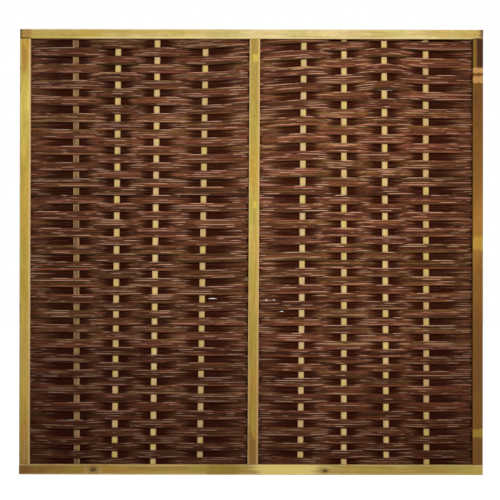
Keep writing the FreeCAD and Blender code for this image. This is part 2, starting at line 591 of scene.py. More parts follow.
@dataclass(frozen=True)
class BarkFinish:
    """Bark of dried willow rods, a little different on each rod.

    Attributes:
        name: the material's name.
        hues: the colours that rods take, by the value that a rod carries.
        painted_light_across: painted light, which the mat's colour is multiplied by, by the share of its
            width, darker towards both sides.
        highlight_colour: the pale painted highlight that lies on the upper flank of a rod.
        recess_shade: the painted shade of the bark where it lies deep in the mat.
        foot: the colour of the painted shade at the foot.
        glint: the tint of its reflections.
        wood: the pale wood of a cut end.
        inner: how much darker the bark is deep in the mat, as painted shade, from 0 to 1.
        foot_shade: how much darker its foot is, as painted shade, from 0 to 1.
        roughness: how matt the bark is.
        gloss: how strongly it reflects.
    """

    name: str = "willow_bark"
    hues: Stops = (
        (0.05, tone(110, 78, 43)), (0.3, tone(116, 74, 45)), (0.55, tone(117, 69, 45)),
        (0.8, tone(115, 64, 49)), (0.95, tone(148, 108, 72)),
    )
    # Painted light across the width: darker towards both sides
    painted_light_across: Stops = (
        (0.0, tone(208, 208, 208)), (0.2, tone(218, 218, 218)), (0.4, tone(238, 238, 238)),
        (0.62, tone(255, 255, 252)), (0.85, tone(240, 235, 227)), (1.0, tone(214, 210, 206)),
    )
    # The colour of the painted highlight
    highlight_colour: Colour = tone(246, 196, 166)
    # The colour of the painted shade deep in the mat
    recess_shade: Colour = tone(60, 21, 8)
    # The colour of the painted shade at the foot
    foot: Colour = tone(42, 11, 4)
    glint: Colour = tone(255, 206, 176)
    wood: Colour = tone(205, 178, 128)
    # How strong the painted shade deep in the mat is
    inner: float = 0.92
    # How strong the painted shade at the foot is
    foot_shade: float = 0.64
    roughness: float = 0.5
    gloss: float = 0.1

    def material(self) -> bpy.types.Material:
        """Makes the material for all rods.

        Returns:
            The material.
        """
        material, wiring = new_material(self.name)
        place = wiring.place()
        squeezed = wiring.squeezed(place, (0.09, 1.0, 1.0))
        own = wiring.carried(HUE)
        grain = wiring.effect(grain_effect(), {"Vector": squeezed, "Seed": wiring.times(own, 17.0)})
        pick = wiring.math("ADD", own, wiring.remap(grain["Broad"], 0.0, 1.0, -0.16, 0.16))
        light = wiring.times(
            wiring.remap(wiring.carried(TONE), 0.0, 1.0, 0.42, 1.36),
            wiring.remap(grain["Streaks"], 0.0, 1.0, 0.6, 1.4),
        )
        colour = wiring.lit(wiring.ramp(pick, self.hues), light)
        # Painted highlight: pale streaks on the upper flank of each rod, which faces the light from above
        colour = wiring.mix(self._highlight_mask(wiring, place, own), colour, self.highlight_colour)
        # Painted shade: darker deep in the mat, behind and between other rods, where the bark is also made
        # matt
        deep = self._deep(wiring, place)
        colour = wiring.mix(deep, colour, self.recess_shade)
        # Painted light across the width: darker towards both sides
        share = wiring.math("DIVIDE", wiring.axis(place, "X"), CAD_BOX[1].x)
        colour = wiring.mix(1.0, colour, wiring.ramp(share, self.painted_light_across), "MULTIPLY")
        # Painted shade: darker towards the foot
        foot_shade = wiring.effect(foot_shade_effect(), {"Vector": place, "Amount": self.foot_shade})
        colour = wiring.mix(foot_shade["Mask"], colour, self.foot)
        low, high = self.roughness - 0.08, self.roughness + 0.14
        rough = wiring.remap(grain["Streaks"], 0.0, 1.0, low, high)
        feeds = {
            "Base Color": wiring.mix(wiring.carried(END), colour, self.wood),
            "Roughness": wiring.math("MAXIMUM", rough, deep),
            "Normal": wiring.bump(wiring.math("ADD", grain["Fibre"], grain["Streaks"]), 0.4, 0.0004),
            "Specular IOR Level": self.gloss,
            "Specular Tint": self.glint,
        }
        wiring.surface(feeds)
        return material

    def _highlight_mask(self, wiring: Wiring, place: Socket, own: Socket) -> Socket:
        """Where the painted highlight shows: in long streaks on a rod's upper flank, in other places on each
        rod.

        Args:
            wiring: the material's wiring.
            place: the place on the panel.
            own: the value that picks a rod's colour.

        Returns:
            How much of it shows, from 0 to 1.
        """
        feeds = {"X": wiring.axis(place, "X"), "Y": wiring.times(own, 40.0)}
        line = wiring.node("ShaderNodeCombineXYZ", feeds).outputs[0]
        streaks = wiring.remap(wiring.noise(line, 10.0), 0.49, 0.59)
        flank = wiring.remap(wiring.axis(self._normal(wiring), "Z"), 0.3, 0.62, 0.0, 0.85)
        return wiring.times(streaks, flank)

    def _deep(self, wiring: Wiring, place: Socket) -> Socket:
        """How much painted shade the surface takes from how deep in the mat it lies, seen from the side that
        it faces.

        Args:
            wiring: the material's wiring.
            place: the place on the panel.

        Returns:
            How much it is darkened.
        """
        facing = wiring.remap(wiring.axis(self._normal(wiring), "Y"), -0.4, 0.4, 1.0, -1.0)
        inward = wiring.times(wiring.axis(place, "Y"), facing)
        return wiring.remap(inward, -0.002, 0.0055, 0.0, self.inner)

    def _normal(self, wiring: Wiring) -> Socket:
        """The way that the surface faces."""
        return wiring.node("ShaderNodeTexCoord").outputs["Normal"]


@dataclass(frozen=True)
class NailFinish:
    """Galvanised steel of a nail's head, dull and a little rusted."""

    name: str = "nail_steel"
    steel: Colour = tone(150, 150, 148)
    rust: Colour = tone(120, 72, 40)

    def material(self) -> bpy.types.Material:
        """Makes the material for all nail heads.

        Returns:
            The material.
        """
        material, wiring = new_material(self.name)
        rusted = wiring.remap(wiring.noise(wiring.place(), 420.0, 4.0, 0.6), 0.45, 0.7)
        feeds = {
            "Base Color": wiring.mix(rusted, self.steel, self.rust),
            "Roughness": wiring.remap(rusted, 0.0, 1.0, 0.35, 0.8),
            "Metallic": wiring.remap(rusted, 0.0, 1.0, 1.0, 0.2),
            "Normal": wiring.bump(rusted, 0.3, 0.0002),
        }
        wiring.surface(feeds)
        return material


def new_object(name: str, data: bpy.types.ID) -> bpy.types.Object:
    """A new object at the origin, linked into the scene."""
    made = bpy.data.objects.new(name, data)
    bpy.context.scene.collection.objects.link(made)
    return made


def carry(mesh: bpy.types.Mesh, values: list[dict[str, float]]) -> None:
    """Stores values at the points of a mesh, for its material or its node tree.

    Args:
        mesh: the mesh.
        values: the values of each point, by name.
    """
    for name in values[0]:
        stored = mesh.attributes.new(name, "FLOAT", "POINT").data
        stored.foreach_set("value", [value[name] for value in values])


def enter(piece: bpy.types.Object, nodes: tuple[str, ...]) -> None:
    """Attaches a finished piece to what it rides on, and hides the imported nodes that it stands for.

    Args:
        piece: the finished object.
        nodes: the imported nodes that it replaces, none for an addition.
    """
    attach(piece, BODY)
    if nodes:
        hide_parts(*nodes)
    faces = sum(len(polygon.vertices) - 2 for polygon in piece.data.polygons)
    log.info("%s: %d triangles", piece.name, faces)


@dataclass
class SawnBar:
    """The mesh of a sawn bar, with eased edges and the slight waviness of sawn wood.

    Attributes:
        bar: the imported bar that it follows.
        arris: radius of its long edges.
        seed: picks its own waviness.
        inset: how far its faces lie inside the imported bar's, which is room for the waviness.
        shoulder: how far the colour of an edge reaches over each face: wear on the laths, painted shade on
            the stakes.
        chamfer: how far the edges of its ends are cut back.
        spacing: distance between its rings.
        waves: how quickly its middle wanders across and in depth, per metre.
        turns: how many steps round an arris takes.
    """

    bar: Bar
    arris: float
    seed: float
    inset: float = 0.0003
    shoulder: float = 0.0045
    chamfer: float = 0.0008
    spacing: float = 0.022
    waves: tuple[float, float] = (3.0, 4.0)
    turns: int = 3

    def outline(self) -> list[tuple[float, float, float]]:
        """Its section, as (across, deep, edge), where edge is 1 on an arris and 0 on a face."""
        half_face = self.bar.face / 2 - self.inset - self.arris
        half_deep = self.bar.thickness / 2 - self.inset - self.arris
        # On a thin bar the bands of two edges, worn on a lath and painted shade on a stake, stay apart
        shoulder = min(self.shoulder, half_deep * 0.8)
        points = []
        for corner, (side, depth) in enumerate(((1, 1), (-1, 1), (-1, -1), (1, -1))):
            centre = Vector((side * half_face, depth * half_deep))
            for step in range(-1, self.turns + 2):
                turn = math.radians(90) * (corner + clamp(step / self.turns))
                outward = Vector((math.cos(turn), math.sin(turn)))
                forward = Vector((-outward.y, outward.x))
                run_on = -shoulder if step < 0 else shoulder if step > self.turns else 0.0
                spot = centre + outward * self.arris + forward * run_on
                points.append((spot.x, spot.y, 0.0 if run_on else 1.0))
        return points

    def stations(self) -> list[tuple[float, float, float]]:
        """Its rings, as (share of the length, shrink, end), where end is 1 on a sawn end."""
        cut = self.chamfer / self.bar.length
        count = max(round(self.bar.length / self.spacing), 2)
        inner = [(between(cut, 1 - cut, step / count), 0.0, 0.0) for step in range(count + 1)]
        return [(0.0, self.chamfer, 1.0), *inner, (1.0, self.chamfer, 1.0)]

    def middle(self, share: float) -> Vector:
        """The middle of its section, which waviness moves.

        Args:
            share: the share of its length.

        Returns:
            The middle.
        """
        bar = self.bar
        ends_in = (bar.end - bar.start).normalized() * self.inset
        along = share * bar.length
        across, deep = self.waves
        wave = Vector((0, 1, 0)) * (drift(along * deep, self.seed + 9) * self.inset)
        wave += bar.across * (drift(along * across, self.seed) * self.inset)
        return (bar.start + ends_in).lerp(bar.end - ends_in, share) + wave

    def mesh(self, name: str) -> bpy.types.Mesh:
        """Builds the mesh.

        Args:
            name: the mesh's name.

        Returns:
            The mesh, closed, with the values edge, along, across and end at its points.
        """
        outline, rings = self.outline(), self.stations()
        vertices, values = [], []
        for share, shrink, end in rings:
            middle = self.middle(share)
            for side, depth, edge in outline:
                side -= math.copysign(shrink, side)
                depth -= math.copysign(shrink, depth)
                vertices.append(middle + self.bar.across * side + Vector((0, depth, 0)))
                values.append({EDGE: edge, ALONG: share, ACROSS: side, END: end})
        count = len(outline)
        faces = [tuple(range(count)), tuple(range(len(vertices) - count, len(vertices)))]
        for low in range(0, len(vertices) - count, count):
            for spot in range(count):
                after = (spot + 1) % count
                faces.append((low + spot, low + after, low + count + after, low + count + spot))
        mesh = bpy.data.meshes.new(name)
        mesh.from_pydata(vertices, [], faces)
        shape = bmesh.new()
        shape.from_mesh(mesh)
        bmesh.ops.recalc_face_normals(shape, faces=shape.faces)
        shape.to_mesh(mesh)
        shape.free()
        mesh.shade_smooth()
        mesh.set_sharp_from_angle(angle=CRISP_BAR)
        carry(mesh, values)
        return mesh

    def build(self, node: str, finish: TimberFinish, slot: str) -> None:
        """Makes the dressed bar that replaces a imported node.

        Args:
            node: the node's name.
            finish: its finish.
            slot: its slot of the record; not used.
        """
        name = f"{node}_timber"
        piece = new_object(name, self.mesh(name))
        piece.data.materials.append(finish.material(self.bar))
        enter(piece, (node,))


class Side(Enum):
    """The two frames of the panel."""

    FRONT = "front"
    BACK = "back"


@dataclass
class LathFrame:
    """One frame of the panel: two rails across its whole width and three stiles between them.

    Attributes:
        side: which of the two frames it is.
        finishes: the finish of each lath, by its place.
        arris: radius of the laths' long edges.
    """

    side: Side
    finishes: dict[str, TimberFinish]
    arris: float = 0.0022

    def build(self) -> None:
        """Makes the five laths and dresses them."""
        for place, finish in self.finishes.items():
            node = f"{self.side.value}_{place}"
            SawnBar(Bar.of_node(node), self.arris, finish.seed).build(node, finish, FRAME_SLOT)


@dataclass
class StakeRow:
    """The stakes that the rods are woven on.

    Attributes:
        finishes: the finish of each stake, from left to right, named as its node is.
        arris: radius of the stakes' long edges.
        shoulder: how far the darker edge, painted shade, reaches over each face.
    """

    finishes: tuple[TimberFinish, ...]
    arris: float = 0.0024
    shoulder: float = 0.0035

    def build(self) -> None:
        """Makes the stakes and dresses them."""
        for finish in self.finishes:
            bar = Bar.of_node(finish.name)
            stake = SawnBar(bar, self.arris, finish.seed, shoulder=self.shoulder)
            stake.build(finish.name, finish, STAKE_SLOT)


@dataclass(frozen=True)
class Crossing:
    """A packed course where it crosses one upright line: its middle, its foot and its top."""

    x: float
    y: float
    low: float
    high: float


@dataclass(frozen=True)
class Slit:
    """A place between two rods where daylight shows.

    Attributes:
        x: its middle along the panel.
        z: its middle's height.
        reach: half its length.
        height: how far it pushes a rod away.
        nearby: how far from it the rods still give way.
    """

    x: float
    z: float
    reach: float
    height: float
    nearby: float = 0.02

    def push(self, x: float, z: float) -> float:
        """How far it pushes a rod away from itself at a place on the panel."""
        opened = self.height * (1 - eased(abs(x - self.x) / self.reach))
        return math.copysign(opened * clamp(1 - abs(z - self.z) / self.nearby), z - self.z)


@dataclass
class CourseRoute:
    """The way that one course takes through the stakes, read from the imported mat.

    Attributes:
        crossings: the course's sections, one at each stake, from left to right.
        stiles: the laths that cover some of the stakes.
        hold: how far from a stake's middle the rods still lie against it.
        past: how far the rods run on past the middle of the outer stakes.
        turn: the share of a bay in which rods come to lie between a stile's laths.
        lean: how early they do so.
    """

    crossings: list[Crossing]
    stiles: tuple[Bar, ...]
    hold: float
    past: float
    turn: float = 0.12
    lean: float = 0.6

    @property
    def ends(self) -> tuple[float, float]:
        """Where the rods start and end."""
        return self.crossings[0].x - self.past, self.crossings[-1].x + self.past

    def around(self, x: float) -> tuple[Crossing, Crossing]:
        """The crossings to the left and right of a place, or the nearest two.

        Args:
            x: the place along the panel.

        Returns:
            The left one and the right one.
        """
        after = next((n for n, c in enumerate(self.crossings) if c.x > x), len(self.crossings) - 1)
        after = max(after, 1)
        return self.crossings[after - 1], self.crossings[after]

    def limits(self, x: float) -> tuple[float, float]:
        """Foot and top of the course at a place.

        Args:
            x: the place along the panel.

        Returns:
            The heights of its foot and of its top.
        """
        first, second = self.around(x)
        share = clamp((x - first.x) / (second.x - first.x))
        return between(first.low, second.low, share), between(first.high, second.high, share)

    def covered(self, crossing: Crossing) -> bool:
        """Whether a stile covers the stake of a crossing."""
        return any(abs(crossing.x - stile.point(0.5).x) < stile.face / 2 for stile in self.stiles)

    def side(self, x: float) -> float:
        """How far the course is behind the stakes, from -1 in front of them to 1 behind.

        Args:
            x: the place along the panel.

        Returns:
            The side. Beside a stile, which holds the rods between its laths, they lie in the middle.
        """
        offset = max(abs(crossing.y) for crossing in self.crossings)
        leaves, comes = self.around(x)
        start, end = leaves.x + self.hold, comes.x - self.hold
        share = clamp((x - start) / (end - start))
        if self.covered(leaves):
            middle = self.turn
        elif self.covered(comes):
            middle = 1 - self.turn
        else:
            return between(leaves.y, comes.y, eased(share)) / offset
        if share < middle:
            return leaves.y * eased((1 - share / middle) ** self.lean) / offset
        return comes.y * eased(((share - middle) / (1 - middle)) ** self.lean) / offset


@dataclass(frozen=True)
class Rod:
    """What one rod of a course keeps from end to end."""

    butt_left: bool
    girth: float
    tone: float
    hue: float
    seed: float


class RodLines:
    """Gathers the centre lines of rods, with what each point of them carries."""

    def __init__(self) -> None:
        """Starts with no rods."""
        self.points: list[Vector] = []
        self.links: list[tuple[int, int]] = []
        self.values: list[dict[str, float]] = []

    def add(self, path: list[tuple[Vector, float]], rod: Rod) -> None:
        """Adds a rod.

        Args:
            path: its centre line, as (point, radius) from left to right.
            rod: what it carries along its whole length.
        """
        first = len(self.points)
        last = first + len(path) - 1
        for index, (point, radius) in enumerate(path, start=first):
            self.points.append(point)
            cut = float(index in (first, last))
            self.values.append({RADIUS: radius, TONE: rod.tone, HUE: rod.hue, END: cut})
        self.links += [(index, index + 1) for index in range(first, last)]

    def mesh(self, name: str) -> bpy.types.Mesh:
        """The lines as a mesh of edges."""
        mesh = bpy.data.meshes.new(name)
        mesh.from_pydata(self.points, self.links, [])
        carry(mesh, self.values)
        return mesh


@dataclass
class WillowMat:
    """The woven mat: every rod on its way through the stakes, four or five to a course.

    Attributes:
        sections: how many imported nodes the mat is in.
        finish: the rods' bark.
        slits: where daylight shows.
        rods: how many rods a course may have, each as often as it is listed.
        girth: the least and the most of a rod's girth, compared with its neighbours'.
        taper: its girth at its butt and at its tip, compared with its middle.
        tones: how much rods differ in how light they are.
        hues: how much they differ in colour.
        swelling: how much a rod's girth wanders, as a share of it.
        swells: how quickly it wanders, over the panel's width.
        thickest: the most that a rod measures across.
        fill: the rods' girths added up, as a share of the course's height.
        pressed: how near the rods lie at a stake, as a share of their girths.
        squeezed: how high the rods stand between the stakes, as a share of the course's height.
        crowded: how much fuller the courses are at the panel's foot and top, as a share.
        stagger: how far they stand out of line there.
        sway: how far a rod strays forward and back.
        sways: how quickly it does so, per metre.
        wander: how far a rod strays up and down.
        wanders: how quickly it does so, per metre.
        gap: clearance between a rod and a stake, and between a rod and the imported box's foot or top.
        past: how far the rods run on past the middle of the outer stakes.
        cut: how far the pale wood of a cut end reaches.
        rings: how many rings a rod has.
        sides: how many sides a rod has.
        seed: picks the rods.
    """

    sections: int
    finish: BarkFinish
    slits: tuple[Slit, ...]
    rods: tuple[int, ...] = (4, 4, 4, 4, 5)
    girth: tuple[float, float] = (0.88, 1.12)
    taper: tuple[float, float] = (1.16, 0.84)
    tones: float = 0.24
    hues: float = 0.22
    swelling: float = 0.05
    swells: float = 22.0
    thickest: float = 0.01
    fill: float = 1.2
    pressed: float = 0.91
    squeezed: float = 1.05
    crowded: float = 0.08
    stagger: float = 0.0015
    sway: float = 0.0004
    sways: float = 7.0
    wander: float = 0.0006
    wanders: float = 6.0
    gap: float = 0.0002
    past: float = 0.0085
    cut: float = 0.0003
    rings: int = 180
    sides: int = 8
    seed: int = 7

    def build(self) -> None:
        """Makes the rods of each packed section of the mat and dresses them."""
        stake = Bar.of_node("stake_01")
        stiles = tuple(Bar.of_node(f"front_{place}_stile") for place in ("left", "centre", "right"))
        draw = random.Random(self.seed)
        material = self.finish.material()
        tree = rod_tree()
        for section in range(1, self.sections + 1):
            node = f"willow_weave_{section:02d}"
            name = f"willow_rods_{section:02d}"
            lines = RodLines()
            for crossings in courses_of(node):
                route = CourseRoute(crossings, stiles, stake.face / 2, self.past)
                self.lay(route, self.choose(draw), stake.thickness / 2, lines)
            made = grown(lines.mesh(name), tree, {"Sides": self.sides, "Bark": material}, name)
            enter(made, (node,))

    def choose(self, draw: random.Random) -> list[Rod]:
        """Picks the rods of one course, which lie butt to tip in turn.

        Args:
            draw: the source of random numbers.

        Returns:
            The rods, from the lowest up.
        """
        first = draw.random() < 0.5
        return [
            Rod(
                butt_left=first == (place % 2 == 0),
                girth=draw.uniform(*self.girth),
                tone=clamp(draw.gauss(0.5, self.tones)),
                hue=clamp(draw.gauss(0.5, self.hues)),
                seed=draw.uniform(0.0, 900.0),
            )
            for place in range(draw.choice(self.rods))
        ]

    def girths(self, rods: list[Rod], share: float, height: float) -> list[float]:
        """What each rod measures across at a share of the panel's width.

        Args:
            rods: the rods of the course, from the lowest up.
            share: how far along the panel, from 0 at the left to 1.
            height: the course's height there.

        Returns:
            Each rod's diameter.
        """
        plain = []
        for rod in rods:
            grown_share = share if rod.butt_left else 1 - share
            swelling = 1 + self.swelling * drift(share * self.swells, rod.seed)
            plain.append(rod.girth * between(*self.taper, grown_share) * swelling)
        stack = self.fill * height
        size = stack / sum(plain)
        # What a rod at its thickest can't take up, the others do, and a few rounds settle that
        for _ in range(4):
            size *= stack / sum(min(girth * size, self.thickest) for girth in plain)
        return [min(girth * size, self.thickest) for girth in plain]

    def lay(self, route: CourseRoute, rods: list[Rod], stake_half: float, lines: RodLines) -> None:
        """Works out the centre lines of a course's rods.

        Args:
            route: the way that the course takes.
            rods: its rods, from the lowest up.
            stake_half: half the thickness of a stake.
            lines: takes the finished centre lines.
        """
        start, end = route.ends
        inner = [
            between(start + self.cut, end - self.cut, ring / self.rings) for ring in range(self.rings + 1)
        ]
        paths = [[] for _ in rods]
        for x in (start, *inner, end):
            low, high = route.limits(x)
            outer = ((low + high) / (CAD_BOX[1].z - CAD_BOX[0].z)) ** 2
            height = (high - low) * (1 + self.crowded * outer)
            girths = self.girths(rods, (x - start) / (end - start), height)
            side = route.side(x)
            beside = side * side
            stack = sum(girths)
            tight = between(self.squeezed * (high - low) / stack, self.pressed, beside)
            level = (low + high) / 2 - stack * tight / 2
            for place, (rod, girth) in enumerate(zip(rods, girths)):
                level += girth * tight / 2
                out = side * (stake_half + self.gap + girth / 2)
                out += (place % 2 - 0.5) * 2 * self.stagger * (1 - beside)
                out += self.sway * drift(x * self.sways, rod.seed + 5) * (1 - beside)
                stray = self.wander * drift(x * self.wanders, rod.seed + 3)
                stray += sum(slit.push(x, level) for slit in self.slits)
                room = girth / 2 + self.gap
                z = clamp(level + stray, CAD_BOX[0].z + room, CAD_BOX[1].z - room)
                paths[place].append((Vector((x, out, z)), girth / 2))
                level += girth * tight / 2
        for rod, path in zip(rods, paths):
            lines.add(path, rod)


def courses_of(node: str) -> list[list[Crossing]]:
    """Reads the courses of a packed section of the mat.

    Args:
        node: the section's name.

    Returns:
        The crossings of each course, from left to right, with the lowest course first.
    """
    shape = bmesh.new()
    shape.from_mesh(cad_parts[node].data)
    bmesh.ops.remove_doubles(shape, verts=shape.verts, dist=MERGE)
    shape.verts.index_update()
    courses = []
    seen: set[int] = set()
    for first in shape.verts:
        if first.index in seen:
            continue
        seen.add(first.index)
        points, waiting = [], [first]
        while waiting:
            vertex = waiting.pop()
            points.append(vertex.co.copy())
            near = [edge.other_vert(vertex) for edge in vertex.link_edges]
            fresh = [other for other in near if other.index not in seen]
            seen.update(other.index for other in fresh)
            waiting += fresh
        courses.append(crossings_of(points))
    shape.free()
    return sorted(courses, key=lambda course: course[0].low)


def crossings_of(points: list[Vector]) -> list[Crossing]:
    """Finds the sections of a packed course.

    Args:
        points: the points of its mesh.

    Returns:
        One crossing for each place along the panel that has points, from left to right.
    """
    groups: list[list[Vector]] = []
    for point in sorted(points, key=lambda spot: spot.x):
        if not groups or point.x - groups[-1][0].x > LEVEL:
            groups.append([])
        groups[-1].append(point)
    crossings = []
    for group in groups:
        deep = [point.y for point in group]
        high = [point.z for point in group]
        crossings.append(Crossing(group[0].x, (min(deep) + max(deep)) / 2, min(high), max(high)))
    return crossings


def rod_tree() -> bpy.types.NodeTree:
    """The tree that grows round rods along their centre lines."""
    takes = {"Geometry": "Geometry", "Sides": "Int", "Bark": "Material"}
    wiring, into, out = new_group("Geometry", "rods_on_lines", takes, {"Geometry": "Geometry"})
    lines = wiring.node("GeometryNodeMeshToCurve", {"Mesh": into["Geometry"]})
    ring = wiring.node("GeometryNodeCurvePrimitiveCircle", {"Resolution": into["Sides"], "Radius": 1.0})
    girth = wiring.node("GeometryNodeInputNamedAttribute", {"Name": RADIUS}, data_type="FLOAT")
    feeds = {"Curve": lines.outputs[0], "Profile Curve": ring.outputs[0], "Scale": girth.outputs[0]}
    swept = wiring.node("GeometryNodeCurveToMesh", {**feeds, "Fill Caps": True})
    finish_tree(wiring, swept.outputs[0], into["Bark"], out["Geometry"])
    return wiring.tree


def nail_tree() -> bpy.types.NodeTree:
    """The tree that sets a domed nail head, a little askew, on each point."""
    takes = {"Geometry": "Geometry", "Head Radius": "Float", "Dome": "Float"}
    takes |= {"Askew": "Float", "Seed": "Int", "Steel": "Material"}
    wiring, into, out = new_group("Geometry", "nail_heads_on_points", takes, {"Geometry": "Geometry"})
    spots = wiring.node("GeometryNodeMeshToPoints", {"Mesh": into["Geometry"]})
    dome = wiring.node("GeometryNodeMeshUVSphere", {"Segments": 14, "Rings": 8, "Radius": 1.0})
    feeds = {"X": into["Head Radius"], "Y": into["Dome"], "Z": into["Head Radius"]}
    size = wiring.node("ShaderNodeCombineXYZ", feeds)
    feeds = {0: wiring.times(into["Askew"], -1.0), 1: into["Askew"], "Seed": into["Seed"]}
    tilt = wiring.node("FunctionNodeRandomValue", feeds, data_type="FLOAT_VECTOR")
    feeds = {"Points": spots, "Instance": dome, "Rotation": tilt, "Scale": size}
    outputs = {name: node.outputs[0] for name, node in feeds.items()}
    placed = wiring.node("GeometryNodeInstanceOnPoints", outputs)
    finish_tree(wiring, placed.outputs[0], into["Steel"], out["Geometry"])
    return wiring.tree


def finish_tree(wiring: Wiring, geometry: Socket, material: Socket, out: Socket) -> None:
    """Ends a tree: real meshes, smooth but for their sharp rims, in their material.

    Args:
        wiring: the tree's wiring.
        geometry: what the tree has made.
        material: its material.
        out: the tree's output.
    """
    real = wiring.node("GeometryNodeRealizeInstances", {"Geometry": geometry})
    smooth = wiring.node("GeometryNodeSetShadeSmooth", {"Geometry": real.outputs[0]}, domain="FACE")
    bend = wiring.node("GeometryNodeInputMeshEdgeAngle").outputs[0]
    rim = wiring.node("FunctionNodeCompare", {"A": bend, "B": CRISP_GROWN}, operation="GREATER_THAN")
    feeds = {"Geometry": smooth.outputs[0], "Selection": rim.outputs[0], "Shade Smooth": False}
    crisp = wiring.node("GeometryNodeSetShadeSmooth", feeds, domain="EDGE")
    feeds = {"Geometry": crisp.outputs[0], "Material": material}
    wiring.feed(out, wiring.node("GeometryNodeSetMaterial", feeds).outputs[0])


def grown(seeds: bpy.types.Mesh, tree: bpy.types.NodeTree, values: dict, name: str) -> bpy.types.Object:
    """Runs a tree on a mesh and keeps the result as a plain piece.

    Args:
        seeds: what the tree works on.
        tree: the geometry node tree.
        values: its inputs, by name.
        name: the piece's name.

    Returns:
        The finished piece, with no modifier.
    """
    holder = new_object(f"{name}_seed", seeds)
    modifier = holder.modifiers.new("grow", "NODES")
    modifier.node_group = tree
    for item in tree.interface.items_tree:
        if item.in_out == "INPUT" and item.name in values:
            modifier[item.identifier] = values[item.name]
    graph = bpy.context.evaluated_depsgraph_get()
    mesh = bpy.data.meshes.new_from_object(holder.evaluated_get(graph), depsgraph=graph)
    mesh.name = name
    bpy.data.objects.remove(holder)
    bpy.data.meshes.remove(seeds)
    return new_object(name, mesh)


@dataclass
class NailSet:
    """The heads of the nails that hold the panel together, driven in from the back.

    Attributes:
        finish: the nails' finish.
        head: radius of a head.
        dome: how far a head's crown stands off its rim.
        sunk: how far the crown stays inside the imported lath's face.
        pitch: about how far apart the nails in a stile are.
        askew: how far a head leans, in radians.
        rail_stray: how far a nail in a rail strays sideways and up.
        stile_stray: how far a nail in a stile does.
        stakes: how many stakes there are.
        seed: picks the nails' leans and places.
    """

    finish: NailFinish
    head: float = 0.0034
    dome: float = 0.0007
    sunk: float = 0.00006
    pitch: float = 0.28
    askew: float = 0.05
    rail_stray: tuple[float, float] = (0.003, 0.005)
    stile_stray: tuple[float, float] = (0.005, 0.02)
    stakes: int = 11
    seed: int = 11

    def spots(self) -> list[Vector]:
        """Where the heads sit: over each stake in the rails, and down each stile."""
        draw = random.Random(self.seed)
        stakes = [Bar.of_node(f"stake_{place:02d}") for place in range(1, self.stakes + 1)]
        spots = []

        def drive(bar: Bar, x: float, z: float, stray: tuple[float, float]) -> None:
            """Drives one nail into a bar, a little off its place."""
            aside, up = (draw.uniform(-most, most) for most in stray)
            spots.append((x + aside, bar, z + up))

        for place, share in (("top_rail", 1.0), ("bottom_rail", 0.0)):
            rail = Bar.of_node(f"back_{place}")
            for stake in stakes:
                drive(rail, stake.point(share).x, rail.start.z, self.rail_stray)
        for place in ("left_stile", "centre_stile", "right_stile"):
            stile = Bar.of_node(f"back_{place}")
            count = round(stile.length / self.pitch)
            for nail in range(count):
                point = stile.point((nail + 0.5) / count)
                drive(stile, point.x, point.z, self.stile_stray)
        deep = self.dome + self.sunk
        return [Vector((x, bar.start.y + bar.thickness / 2 - deep, z)) for x, bar, z in spots]

    def build(self) -> None:
        """Makes the nail heads as one piece."""
        name = "nail_heads"
        points = bpy.data.meshes.new(name)
        points.from_pydata(self.spots(), [], [])
        values = {"Head Radius": self.head, "Dome": self.dome, "Askew": self.askew, "Seed": self.seed}
        values["Steel"] = self.finish.material()
        enter(grown(points, nail_tree(), values, name), ())


